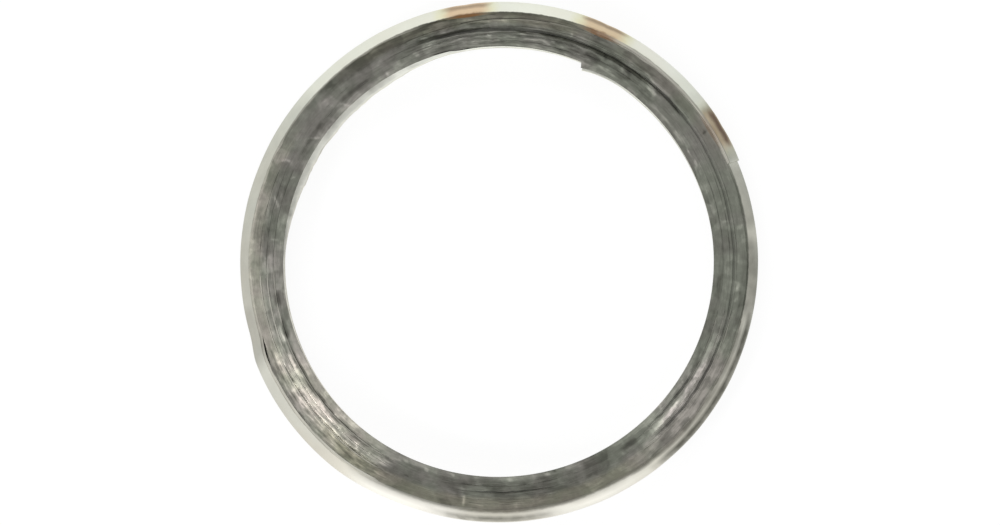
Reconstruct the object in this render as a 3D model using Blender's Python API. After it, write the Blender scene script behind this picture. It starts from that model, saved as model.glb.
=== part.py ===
"""Spiral-wound gasket for an exhaust pipe joint.

A thin steel strip of V section is wound on edge into a ring, and a graphite strip is wound in
between its turns. The ring lies flat: its axis is Z, the faces that seal are its top and bottom,
and the origin is on the axis, level with the bottom face.

Both strips follow one rule. A place along the winding is counted in turns from the steel's inner
end, and the winding runs clockwise as seen from above while it grows outwards.
"""

import math

import bmesh
import bpy
from mathutils import Matrix, Vector

# Steel strip: its width stands along the ring's axis, its V points outwards
STRIP_THICKNESS = 0.00020
STRIP_WIDTH = 0.0050
CREST_DEPTH = 0.00145
CREST_RADIUS = 0.00080

# Graphite strip: wider than the steel, so that it stands above the steel on both faces
FILLER_THICKNESS = 0.00044
FILLER_PROUD = 0.00015

# Room between a turn and what lies on it, square to the strip's flanks
TURN_CLEARANCE = 0.00005

# Winding: how many turns carry no graphite at the hole, how many carry it, how many are outside
HOLE_RADIUS = 0.02778
PLAIN_INNER_TURNS = 1
FILLED_TURNS = 4
PLAIN_OUTER_TURNS = 2
INNER_END_DEG = 67.0
OUTER_LAP_DEG = 44.0
CLIMB_DEG = 60.0

# Inner end of the steel, sprung a little way into the hole
TAIL_DEG = 13.0
TAIL_DROP = 0.00060

# Stretch where the last whole turn stands off the turn below it
BOW_HEIGHT = 0.00030
BOW_START_DEG = 258.0
BOW_END_DEG = 196.0
BOW_RISE_DEG = 22.0
BOW_FALL_DEG = 7.0

# Fineness of the round shapes
STEPS_PER_TURN = 64
CREST_STEPS = 2
SHARP_EDGE_DEG = 40.0

FULL_TURN_DEG = 360.0


def clear_scene():
    """Remove the objects that a new scene starts with."""
    for old in list(bpy.data.objects):
        bpy.data.objects.remove(old, do_unlink=True)


def make_material(name, colour, metallic, roughness):
    """A plain surface with the piece's own colour."""
    material = bpy.data.materials.new(name)
    material.use_nodes = True
    shader = material.node_tree.nodes["Principled BSDF"]
    shader.inputs["Base Color"].default_value = (*colour, 1.0)
    shader.inputs["Metallic"].default_value = metallic
    shader.inputs["Roughness"].default_value = roughness
    return material


def smooth_step(share):
    """Rise from 0 to 1 with level ends, and stay there outside that range."""
    share = min(max(share, 0.0), 1.0)
    return share * share * (3.0 - 2.0 * share)


def flank_angle():
    """Lean of the V's flanks, so that each runs from an edge into the round of the crest."""
    half_width = STRIP_WIDTH / 2
    round_centre = CREST_DEPTH - CREST_RADIUS
    reach = math.hypot(half_width, round_centre)
    return math.atan2(round_centre, half_width) + math.asin(CREST_RADIUS / reach)


def v_section(thickness, proud):
    """Closed outline of a V-shaped strip: outer side from the top down, inner side back up.

    Each point is (distance outwards from the middle of the steel's edge, height above the
    strip's middle). The flanks run on past the steel's edges by the height that stands proud.
    """
    flank = flank_angle()
    edge_height = STRIP_WIDTH / 2 + proud
    edge_out = -proud * math.tan(flank)
    rows = [(edge_out, edge_height, flank)]
    for step in range(CREST_STEPS + 1):
        lean = flank * (1 - 2 * step / CREST_STEPS)
        out = CREST_DEPTH - CREST_RADIUS + CREST_RADIUS * math.cos(lean)
        rows.append((out, CREST_RADIUS * math.sin(lean), lean))
    rows.append((edge_out, -edge_height, flank))
    outer = [(out + thickness / 2 / math.cos(lean), height) for out, height, lean in rows]
    inner = [(out - thickness / 2 / math.cos(lean), height) for out, height, lean in rows]
    return outer + inner[::-1]


def carries_filler(turn):
    """True for a turn of the steel that has graphite laid on its outer side."""
    return PLAIN_INNER_TURNS <= turn < PLAIN_INNER_TURNS + FILLED_TURNS


def rise(turn):
    """How much further out the next turn of the steel lies than this one."""
    laid = STRIP_THICKNESS + TURN_CLEARANCE
    if carries_filler(turn):
        laid += FILLER_THICKNESS + TURN_CLEARANCE
    return laid / math.cos(flank_angle())


def angle_at(place):
    """Direction in radians, seen from above, of a place counted in turns."""
    return math.radians(INNER_END_DEG - FULL_TURN_DEG * place)


def wound_radius(place):
    """Radius of the middle of the steel's edge, before its ends and its bow.

    Each turn is round, and over its last stretch it climbs on to the turn below.
    """
    whole = math.floor(place)
    climb_share = CLIMB_DEG / FULL_TURN_DEG
    climb = smooth_step((place - whole - 1 + climb_share) / climb_share)
    first = HOLE_RADIUS + STRIP_THICKNESS / 2 / math.cos(flank_angle())
    return first + sum(rise(turn) for turn in range(whole)) + rise(whole) * climb


def tail_drop(place):
    """How far the steel's inner end is sprung into the hole."""
    left = 1 - place * FULL_TURN_DEG / TAIL_DEG
    return TAIL_DROP * max(left, 0.0) ** 2


def bow(place):
    """How far the last whole turn stands off the one below."""
    last = PLAIN_INNER_TURNS + FILLED_TURNS + PLAIN_OUTER_TURNS - 1
    if math.floor(place) != last:
        return 0.0
    direction = math.degrees(angle_at(place)) % FULL_TURN_DEG
    up = smooth_step((BOW_START_DEG - direction) / BOW_RISE_DEG)
    down = smooth_step((direction - BOW_END_DEG) / BOW_FALL_DEG)
    return BOW_HEIGHT * min(up, down)


def steel_radius(place):
    """Radius of the middle of the steel's edge at a place along the winding."""
    return wound_radius(place) - tail_drop(place) + bow(place)


def filler_radius(place):
    """Radius of the middle of the graphite that lies on the steel at the same place."""
    first_filled = PLAIN_INNER_TURNS
    return wound_radius(place) + rise(first_filled) / 2


def stations(start, end):
    """Places along a stretch of the winding, at the same directions on every turn."""
    first = math.floor(start * STEPS_PER_TURN) + 1
    last = math.ceil(end * STEPS_PER_TURN) - 1
    between = [step / STEPS_PER_TURN for step in range(first, last + 1)]
    return [start, *between, end]


def outward(place):
    """Unit vector away from the ring's axis at a place along the winding."""
    return Vector((math.cos(angle_at(place)), math.sin(angle_at(place)), 0.0))


def wind(name, outline, radius_at, start, end, material):
    """Make a strip: extrude its section along the winding, one step at a time."""
    middle_height = STRIP_WIDTH / 2 + FILLER_PROUD
    places = stations(start, end)
    bm = bmesh.new()
    corners = []
    for out, height in outline:
        spot = outward(start) * (radius_at(start) + out)
        corners.append(bm.verts.new((spot.x, spot.y, middle_height + height)))
    section = bm.faces.new(corners)
    for here, there in zip(places, places[1:]):
        left = section
        made = bmesh.ops.extrude_face_region(bm, geom=[left])["geom"]
        section = next(part for part in made if isinstance(part, bmesh.types.BMFace))
        if here > start:
            bmesh.ops.delete(bm, geom=[left], context="FACES_ONLY")
        turned = Matrix.Rotation(angle_at(there) - angle_at(here), 3, "Z")
        grown = outward(there) * (radius_at(there) - radius_at(here))
        bmesh.ops.rotate(bm, verts=section.verts, cent=(0, 0, 0), matrix=turned)
        bmesh.ops.translate(bm, verts=section.verts, vec=grown)
    bmesh.ops.recalc_face_normals(bm, faces=bm.faces)
    mesh = bpy.data.meshes.new(name)
    bm.to_mesh(mesh)
    bm.free()
    mesh.shade_smooth()
    mesh.set_sharp_from_angle(angle=math.radians(SHARP_EDGE_DEG))
    mesh.materials.append(material)
    strip = bpy.data.objects.new(name, mesh)
    bpy.context.collection.objects.link(strip)
    return strip


def make_winding_strip():
    """The steel: whole turns, then a lap that ends on top of the last one."""
    steel = make_material("stainless steel", (0.60, 0.59, 0.56), 1.0, 0.32)
    whole_turns = PLAIN_INNER_TURNS + FILLED_TURNS + PLAIN_OUTER_TURNS
    end = whole_turns + OUTER_LAP_DEG / FULL_TURN_DEG
    outline = v_section(STRIP_THICKNESS, 0.0)
    return wind("winding_strip", outline, steel_radius, 0.0, end, steel)


def make_graphite_filler():
    """The graphite: it starts where the steel has room for it and ends before that room closes."""
    graphite = make_material("graphite", (0.14, 0.14, 0.13), 0.4, 0.55)
    start = PLAIN_INNER_TURNS
    room_closes = PLAIN_INNER_TURNS + FILLED_TURNS - CLIMB_DEG / FULL_TURN_DEG
    end = math.floor(room_closes * STEPS_PER_TURN) / STEPS_PER_TURN
    outline = v_section(FILLER_THICKNESS, FILLER_PROUD)
    return wind("graphite_filler", outline, filler_radius, start, end, graphite)


clear_scene()
make_winding_strip()
make_graphite_filler()
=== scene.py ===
# %% [markdown]
# A spiral-wound exhaust gasket
#
# This gasket seals the joint between two exhaust pipes. A thin stainless strip with a V-shaped
# section is wound on edge into a flat ring, and a graphite strip is wound in between its turns.
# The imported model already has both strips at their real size. This script keeps their place and
# gives them what a close look shows: fine round turns, ragged graphite, dull edges, heat marks.

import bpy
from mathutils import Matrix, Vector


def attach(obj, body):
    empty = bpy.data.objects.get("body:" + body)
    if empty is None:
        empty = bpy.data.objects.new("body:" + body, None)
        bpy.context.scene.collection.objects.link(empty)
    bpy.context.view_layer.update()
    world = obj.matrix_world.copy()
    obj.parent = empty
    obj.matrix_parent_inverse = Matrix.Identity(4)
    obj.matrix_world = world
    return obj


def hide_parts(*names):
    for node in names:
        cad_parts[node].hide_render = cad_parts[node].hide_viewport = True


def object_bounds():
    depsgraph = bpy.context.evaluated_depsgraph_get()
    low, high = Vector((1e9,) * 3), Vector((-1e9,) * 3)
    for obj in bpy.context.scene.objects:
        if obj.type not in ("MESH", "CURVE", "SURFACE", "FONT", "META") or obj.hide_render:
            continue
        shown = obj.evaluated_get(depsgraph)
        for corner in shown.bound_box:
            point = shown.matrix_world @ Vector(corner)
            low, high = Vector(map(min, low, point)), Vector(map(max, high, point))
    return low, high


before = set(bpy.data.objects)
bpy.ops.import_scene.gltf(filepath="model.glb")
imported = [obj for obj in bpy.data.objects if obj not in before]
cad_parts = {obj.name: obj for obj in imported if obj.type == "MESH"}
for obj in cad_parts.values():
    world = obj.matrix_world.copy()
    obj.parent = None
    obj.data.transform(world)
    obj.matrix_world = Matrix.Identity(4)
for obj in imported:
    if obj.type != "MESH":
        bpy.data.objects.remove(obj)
cad_low, cad_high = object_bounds()
print("packed nodes:", sorted(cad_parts))

# %% [markdown]
# The tools used
#
# Besides Blender's own module, the script needs mathematics, arrays for moving many points at
# once, and Blender's noise for natural unevenness, which is the same on every run.

# %% Import the tools
import math
from types import SimpleNamespace

import bpy
import numpy as np
from mathutils import Matrix, Vector, noise

MM = 0.001


def deselect_all():
    """Start from nothing selected, because an operator acts on all that is selected."""
    for item in bpy.context.selected_objects:
        item.select_set(False)


# %% [markdown]
# The sizes
#
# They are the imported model's, so that the finer strips lie where the plain ones do. Only the bow,
# the stretch where the last turn stands off the one below, is a little higher and shorter here.

# %% Sizes of the strips and the winding
STRIP_THICKNESS = 0.20 * MM
STRIP_WIDTH = 5.0 * MM
CREST_DEPTH = 1.45 * MM
CREST_RADIUS = 0.80 * MM
FILLER_THICKNESS = 0.44 * MM
FILLER_PROUD = 0.15 * MM
TURN_CLEARANCE = 0.05 * MM
HOLE_RADIUS = 27.78 * MM
PLAIN_INNER_TURNS = 1
FILLED_TURNS = 4
PLAIN_OUTER_TURNS = 2
WHOLE_TURNS = PLAIN_INNER_TURNS + FILLED_TURNS + PLAIN_OUTER_TURNS
INNER_END_DEG = 67.0
OUTER_LAP_DEG = 44.0
CLIMB_SHARE = 60.0 / 360.0
TAIL_SHARE = 13.0 / 360.0
TAIL_DROP = 0.60 * MM
BOW_HEIGHT = 0.44 * MM
BOW_START_DEG, BOW_RISE_DEG = 252.0, 22.0
BOW_END_DEG, BOW_FALL_DEG = 196.0, 7.0
MIDDLE_HEIGHT = (cad_low.z + cad_high.z) / 2
print("ring height in mm:", round((cad_high.z - cad_low.z) / MM, 3))

# %% [markdown]
# The winding rule
#
# The real strips are wound on a mandrel, so one rule gives every point. A place along the winding
# is counted in turns from the steel's inner end. It runs clockwise as seen from above while it
# grows outwards. Each turn is round, and over its last sixth it climbs on to the turn below.


# %% Radius and direction along the winding
def smooth_step(share):
    """Rise from 0 to 1 with level ends."""
    share = min(max(share, 0.0), 1.0)
    return share * share * (3.0 - 2.0 * share)


ROUND_CENTRE = CREST_DEPTH - CREST_RADIUS
REACH = math.hypot(STRIP_WIDTH / 2, ROUND_CENTRE)
FLANK = math.atan2(ROUND_CENTRE, STRIP_WIDTH / 2) + math.asin(CREST_RADIUS / REACH)


def rise(turn):
    """How much further out the next turn of the steel lies."""
    laid = STRIP_THICKNESS + TURN_CLEARANCE
    if PLAIN_INNER_TURNS <= turn < PLAIN_INNER_TURNS + FILLED_TURNS:
        laid += FILLER_THICKNESS + TURN_CLEARANCE
    return laid / math.cos(FLANK)


def direction(place):
    """Direction seen from above, in degrees from 0 to 360."""
    return (INNER_END_DEG - 360.0 * place) % 360.0


def pointing(degrees):
    """Unit vector in a direction seen from above."""
    turned = math.radians(degrees)
    return math.cos(turned), math.sin(turned), 0.0


def turned_from(middle, degrees):
    """Degrees from one direction to another, the shorter way round."""
    return (degrees - middle + 180) % 360 - 180


def wound_radius(place):
    """Radius of the steel's edge, before its ends and its bow."""
    whole = math.floor(place)
    climb = smooth_step((place - whole - 1 + CLIMB_SHARE) / CLIMB_SHARE)
    first = HOLE_RADIUS + STRIP_THICKNESS / 2 / math.cos(FLANK)
    return first + sum(rise(turn) for turn in range(whole)) + rise(whole) * climb


def bowed(place, end):
    """Share of the bow's height at a place, for a bow that ends at a direction."""
    up = smooth_step((BOW_START_DEG - direction(place)) / BOW_RISE_DEG)
    down = smooth_step((direction(place) - end) / BOW_FALL_DEG)
    return min(up, down)


def steel_radius(place):
    """The wound radius, with the sprung inner end and the last turn's bow."""
    radius = wound_radius(place) - TAIL_DROP * max(1 - place / TAIL_SHARE, 0.0) ** 2
    if math.floor(place) == WHOLE_TURNS - 1:
        radius += BOW_HEIGHT * bowed(place, BOW_END_DEG)
    return radius


print("flank leans", round(math.degrees(FLANK), 1), "degrees")

# %% [markdown]
# From a flat sheet to a wound strip
#
# No operator winds a strip into a spiral, so the strip is made as the real one is: flat first,
# then bent. A long grid lies flat, its width is wrapped round the section's outline and closed
# into a tube, and its length is laid along the winding. The grid's own UV map stays with it, so
# a finish can follow the strip from end to end, and every point keeps its place in turns.

# %% The helper that winds a strip
SAME_POINT = 0.0005 * MM
SHARP_EDGE_DEG = 50


def spots_of(piece):
    """All points of a piece as rows of x, y and z."""
    spots = np.empty(len(piece.data.vertices) * 3)
    piece.data.vertices.foreach_get("co", spots)
    return spots.reshape(-1, 3)


def v_offset(height):
    """How far out the V reaches at a height above its middle, and how it leans there."""
    turn_height = CREST_RADIUS * math.sin(FLANK)
    if abs(height) >= turn_height:
        return (STRIP_WIDTH / 2 - abs(height)) * math.tan(FLANK), FLANK
    lean = math.asin(abs(height) / CREST_RADIUS)
    return ROUND_CENTRE + CREST_RADIUS * math.cos(lean), lean


def wind_strip(name, places, outline, shape):
    """Wrap a flat grid round an outline and wind it: shape gives each point's radius and height."""
    deselect_all()
    bpy.ops.mesh.primitive_grid_add(
        x_subdivisions=len(places) - 1, y_subdivisions=len(outline), size=1)
    strip = bpy.context.object
    strip.name = name
    strip.data.name = name
    flat = spots_of(strip)
    station = np.rint((flat[:, 0] + 0.5) * (len(places) - 1)).astype(int)
    row = np.rint((flat[:, 1] + 0.5) * len(outline)).astype(int) % len(outline)
    wound = np.empty(flat.shape)
    for index, (at, side) in enumerate(zip(station, row)):
        radius, height = shape(places[at], outline[side])
        cos, sin, _ = pointing(direction(places[at]))
        wound[index] = radius * cos, radius * sin, height
    strip.data.vertices.foreach_set("co", wound.ravel())
    strip.data.attributes.new("place", "FLOAT", "POINT").data.foreach_set(
        "value", np.array(places)[station])
    bpy.ops.object.mode_set(mode="EDIT")
    bpy.ops.mesh.select_all(action="SELECT")
    bpy.ops.mesh.remove_doubles(threshold=SAME_POINT)
    bpy.ops.mesh.select_all(action="DESELECT")
    bpy.ops.mesh.select_non_manifold()
    bpy.ops.mesh.fill_holes(sides=0)
    bpy.ops.mesh.select_all(action="SELECT")
    bpy.ops.mesh.normals_make_consistent(inside=False)
    bpy.ops.object.mode_set(mode="OBJECT")
    bpy.ops.object.shade_smooth_by_angle(angle=math.radians(SHARP_EDGE_DEG))
    triangles = sum(len(face.vertices) - 2 for face in strip.data.polygons)
    print(name, "has", triangles, "triangles")
    return strip


def rows_of(heights):
    """The same heights below and above the middle, from the bottom up."""
    return [-height for height in reversed(heights[1:])] + list(heights)


# %% [markdown]
# The steel strip
#
# The strip is rolled from 0.2 mm stainless sheet. From above, only the thin edges of its turns
# show, and the upper flank of the last turn, which is the bright band round the ring. Three spot
# welds press shallow dimples into the last lap. The turn below the last one follows most of its
# bow, the upper edges and the crest are pressed in on some stretches, and the lower half of the
# first turn is splayed into the hole on one side.

# %% Shape the steel
# A turn's length in mm, which the noise is measured by
TURN_LENGTH = 190.0
STEEL_STATIONS_PER_TURN = 400
STEEL_HALF_HEIGHTS = (0, 0.15 * MM, 0.30 * MM, 0.43 * MM, 1.0 * MM, 1.6 * MM, 2.1 * MM,
                      STRIP_WIDTH / 2)
# The steel is drawn this much thicker, which closes most of the clearance between turns
CLOSED_UP = 0.030 * MM
EDGE_WAVE, EDGE_WAVES_PER_TURN = 0.012 * MM, 45
RIPPLE, RIPPLES_PER_TURN, RIPPLES_UP_MM = 0.030 * MM, 42, 0.35
WELD_DIRECTIONS = (31.5, 65.5, 97.5)
WELD_HEIGHT = 0.5 * MM
WELD_DIMPLE_DEPTH, WELD_DIMPLE_RADIUS = 0.07 * MM, 1.3 * MM
TIP_PRESSED, TIP_MM = 0.045 * MM, 2.0
LOWER_BOW_SHARE = 0.92
LOWER_BOW_END_DEG = 198.6
# Stretches are given by their middle and half their length in degrees
STRETCH_SOFT_DEG = 20.0
UPPER_LEAN, LEAN_STRETCH = 0.15 * MM, (118.0, 54.0)
CREST_IN, CREST_IN_STRETCHES = 0.11 * MM, ((164, 38), (2, 26))
TURNS_TO_FULL_PRESS = 5.0
INNER_SAG, SAG_MIDDLE_DEG, SAG_HALF_DEG, SAG_FULL = 0.14 * MM, 36.0, 34.0, 1.3
SPLAY_DEPTH, SPLAY_MIDDLE_DEG, SPLAY_HALF_DEG, SPLAY_FULL = 0.57 * MM, 141.0, 38.0, 1.6
SPLAY_WAVE, SPLAY_WAVES_PER_TURN, SPLAY_FINE_WAVES_PER_TURN = 0.28, 70, 260
steel_end = WHOLE_TURNS + OUTER_LAP_DEG / 360.0


def noise_at(*spot):
    """Blender's noise at a spot, from about -1 to 1."""
    return noise.noise(Vector(spot))


def edge_share(height):
    """0 at the middle of the strip's width and 1 at its edges."""
    return abs(height) / (STRIP_WIDTH / 2)


def lower_bow(place):
    """How far the last turn but one follows the last turn's bow."""
    if math.floor(place) != WHOLE_TURNS - 2:
        return 0.0
    return LOWER_BOW_SHARE * BOW_HEIGHT * bowed(place, LOWER_BOW_END_DEG)


def splay(place, height):
    """How far the lower half of the first turn leans into the hole."""
    if place >= 1 or height > 0:
        return 0.0
    away = abs(direction(place) - SPLAY_MIDDLE_DEG) / SPLAY_HALF_DEG
    waves = (noise_at(place * SPLAY_WAVES_PER_TURN, 0.0, 8.0)
             + 0.5 * noise_at(place * SPLAY_FINE_WAVES_PER_TURN, 0.0, 8.0))
    share = smooth_step((1 - away) * SPLAY_FULL) * (1 + SPLAY_WAVE * waves)
    return SPLAY_DEPTH * share * edge_share(height)


def inside_stretch(degrees, middle, half):
    """1 inside a stretch of directions and 0 outside, with soft ends."""
    return smooth_step((half - abs(turned_from(middle, degrees))) / STRETCH_SOFT_DEG + 0.5)


def leaned_in(place, height):
    """How far a turn is pressed in, more from turn to turn: its upper edge or its crest."""
    up = min(edge_share(height), 1.0) ** 2
    crest = max(inside_stretch(direction(place), *stretch) for stretch in CREST_IN_STRETCHES)
    pressed = CREST_IN * crest * (1 - up)
    if height > 0:
        pressed += UPPER_LEAN * inside_stretch(direction(place), *LEAN_STRETCH) * up
    return pressed * smooth_step((place - 1) / TURNS_TO_FULL_PRESS)


def inner_sag(place):
    """How far the start of the first turn sags into the hole."""
    away = abs(turned_from(SAG_MIDDLE_DEG, direction(place))) / SAG_HALF_DEG
    return INNER_SAG * smooth_step(SAG_FULL * (1 - away)) if place < 1 else 0.0


def weld_dimple(place, height):
    """Depth of the nearest weld's dimple at a point of the outer lap."""
    if place < WHOLE_TURNS - CLIMB_SHARE:
        return 0.0
    along = min(abs(direction(place) - weld) for weld in WELD_DIRECTIONS)
    away = math.hypot(math.radians(along) * steel_radius(place), height - WELD_HEIGHT)
    return WELD_DIMPLE_DEPTH * (1 - smooth_step(away / WELD_DIMPLE_RADIUS))


def steel_point(place, spot):
    """Radius and height of a point of the steel, given its side and height in the section."""
    side, height = spot
    out, lean = v_offset(height)
    half_thickness = (STRIP_THICKNESS + CLOSED_UP) / 2 / math.cos(lean)
    radius = steel_radius(place) + out + side * half_thickness
    radius += lower_bow(place) - splay(place, height) - weld_dimple(place, height)
    radius -= inner_sag(place) + leaned_in(place, height)
    radius -= TIP_PRESSED * smooth_step((place - steel_end) * TURN_LENGTH / TIP_MM + 1)
    if place > WHOLE_TURNS - 1:
        ripple = noise_at(place * RIPPLES_PER_TURN, height / MM * RIPPLES_UP_MM, 2.0)
        radius += RIPPLE * ripple - RIPPLE / 2
    wave = noise_at(place * EDGE_WAVES_PER_TURN, 0.0, math.copysign(3.0, height))
    return radius, MIDDLE_HEIGHT + height + EDGE_WAVE * wave * edge_share(height) ** 4


steel_heights = rows_of(STEEL_HALF_HEIGHTS)
steel_outline = [*((1, height) for height in steel_heights), (0, steel_heights[-1]),
                 *((-1, height) for height in reversed(steel_heights)), (0, steel_heights[0])]
steel_steps = round(steel_end * STEEL_STATIONS_PER_TURN)
steel_places = [steel_end * step / steel_steps for step in range(steel_steps + 1)]
steel = wind_strip("wound_steel_strip", steel_places, steel_outline, steel_point)

# %% [markdown]
# The graphite strip
#
# Flexible graphite is pressed from flakes. Where it stands above the steel it is uneven, with
# streaks along the winding, and pressing has spread it over the steel's edges. It fills the
# narrowing space at both ends of its run as a thin wedge. All of that is real relief here, made
# by noise that is long along the strip and short across it.

# %% Shape the graphite
FILLER_STATIONS = 2800
TOP_ROWS, BOTTOM_ROWS = 12, 4
FILLER_START = PLAIN_INNER_TURNS - 0.13
FILLER_END = PLAIN_INNER_TURNS + FILLED_TURNS - 0.03
FILLER_HALF_HEIGHT = STRIP_WIDTH / 2 + FILLER_PROUD
FILLER_HALF_HEIGHTS = (0, 0.43 * MM, STRIP_WIDTH / 2, 2.56 * MM)
STEEL_AND_GAPS = (STRIP_THICKNESS + 2 * TURN_CLEARANCE) / math.cos(FLANK)
THINNEST_WEDGE = 0.06
# Each layer of the relief: height, length in mm along the strip, how fine across it, and seed
RELIEF = ((0.050 * MM, 4.0, 0.4, 0.0), (0.045 * MM, 1.3, 2.4, 5.0), (0.018 * MM, 0.5, 4.5, 9.0))
LEAST_FILM = 0.020 * MM
SPREAD, SIDE_SPREAD, LEAST_SPREAD = 0.175 * MM, 0.60 * MM, 0.12
TONGUE, TONGUE_MM, TONGUE_ACROSS, TONGUE_SEED = 0.35, 2.2, 3.0, 31.0
SPREAD_IN_TURNS, SPREAD_OUT_TURNS = 0.06, 0.10
INNER_LIP, LIP_IN_TURNS = 0.20 * MM, 0.04
# Where the steel's edges are free of graphite: from and to in degrees, share
BARE_STRETCHES = ((52, 114, 0.35), (182, 240, 0.80), (261, 283, 0.45), (309, 347, 0.50),
                  (0, 22, 0.15), (158, 184, 0.25))
BARE_SOFT_DEG = 5.0
RIM_KEPT = 0.45


def bareness(degrees):
    """How far the steel's edges stay free of graphite in a direction."""
    return max(amount * smooth_step(min(degrees - start, end - degrees) / BARE_SOFT_DEG + 0.5)
               for start, end, amount in BARE_STRETCHES)


def relief(place, across, side):
    """How far the graphite's end face stands below its full height at a point."""
    along = place * TURN_LENGTH
    return sum(depth * (0.5 + 0.5 * noise_at(along / length, across * fine, side + seed))
               for depth, length, fine, seed in RELIEF)


def spread_over_steel(place, across, side):
    """How far pressing has spread the graphite's rim over the steel, on one of its edges."""
    outermost = place > FILLED_TURNS + PLAIN_INNER_TURNS - 1 and across > 0
    innermost = place < PLAIN_INNER_TURNS + 1 and across < 0
    most, kept = (SIDE_SPREAD, RIM_KEPT) if outermost or innermost else (SPREAD, 1.0)
    tongue = noise_at(place * TURN_LENGTH / TONGUE_MM, across * TONGUE_ACROSS,
                      side + TONGUE_SEED)
    share = 1.0 + TONGUE * tongue - kept * bareness(direction(place))
    ends = (smooth_step((place - FILLER_START) / SPREAD_IN_TURNS)
            * smooth_step((FILLER_END - place) / SPREAD_OUT_TURNS))
    return most * min(max(share, LEAST_SPREAD), 1.0) * ends


def innermost_steel(place):
    """Radius of the inner face of the steel's upper edge, on the hole side of the graphite."""
    first = max(place - 1, 0.0) if place >= 1 else place
    face = (STRIP_THICKNESS + CLOSED_UP) / 2 / math.cos(FLANK)
    lip = INNER_LIP * smooth_step((place - FILLER_START) / LIP_IN_TURNS) if place < 1 else 0.0
    return steel_radius(first) - inner_sag(first) - face - lip


def graphite_point(place, spot):
    """Radius and height of a point of the graphite, given its place in the section."""
    across, height = spot
    out, lean = v_offset(height)
    room = wound_radius(place + 1) - wound_radius(place)
    filled = (room - STEEL_AND_GAPS) * math.cos(FLANK) / FILLER_THICKNESS
    wedge = min(max(filled, THINNEST_WEDGE), 1.0)
    half_thickness = wedge * FILLER_THICKNESS / 2 / math.cos(lean)
    radius = wound_radius(place) + room / 2 + out + across * half_thickness
    if across > 0:
        radius += lower_bow(place + 1)
    outwards = (across + 1) / 2
    radius -= (leaned_in(place, height) * (1 - outwards)
               + leaned_in(place + 1, height) * outwards)
    above = abs(height) - STRIP_WIDTH / 2
    if above < 0:
        return radius, MIDDLE_HEIGHT + height
    side = math.copysign(9.0, height)
    rim = smooth_step(above / FILLER_PROUD * 2)
    radius += math.copysign(abs(across) ** 1.5, across) * rim * spread_over_steel(
        place, across, side)
    if across < 0 and place < 2:
        if 1 <= place < 1 + TAIL_SHARE and height > 0:
            radius -= rim * abs(across) ** 3 * (radius - innermost_steel(place))
        lip_below = INNER_LIP if place < 1 and height < 0 else 0.0
        radius = max(radius, innermost_steel(place) + LEAST_FILM + lip_below)
    drop = relief(place, across, side) + (1 - wedge) * FILLER_PROUD
    film_and_shade = max(FILLER_HALF_HEIGHT - drop, STRIP_WIDTH / 2 + LEAST_FILM)
    tall = min(abs(height), film_and_shade) if above < FILLER_PROUD else film_and_shade
    return radius, MIDDLE_HEIGHT + math.copysign(tall, height)


filler_heights = rows_of(FILLER_HALF_HEIGHTS)
filler_outline = [
    *((1, height) for height in filler_heights),
    *((1 - 2 * step / TOP_ROWS, FILLER_HALF_HEIGHT) for step in range(TOP_ROWS + 1)),
    *((-1, height) for height in reversed(filler_heights)),
    *((2 * step / BOTTOM_ROWS - 1, -FILLER_HALF_HEIGHT) for step in range(BOTTOM_ROWS + 1))]
filler_length = FILLER_END - FILLER_START
filler_places = [FILLER_START + filler_length * step / FILLER_STATIONS
                 for step in range(FILLER_STATIONS + 1)]
graphite = wind_strip("pressed_graphite", filler_places, filler_outline, graphite_point)
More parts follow.
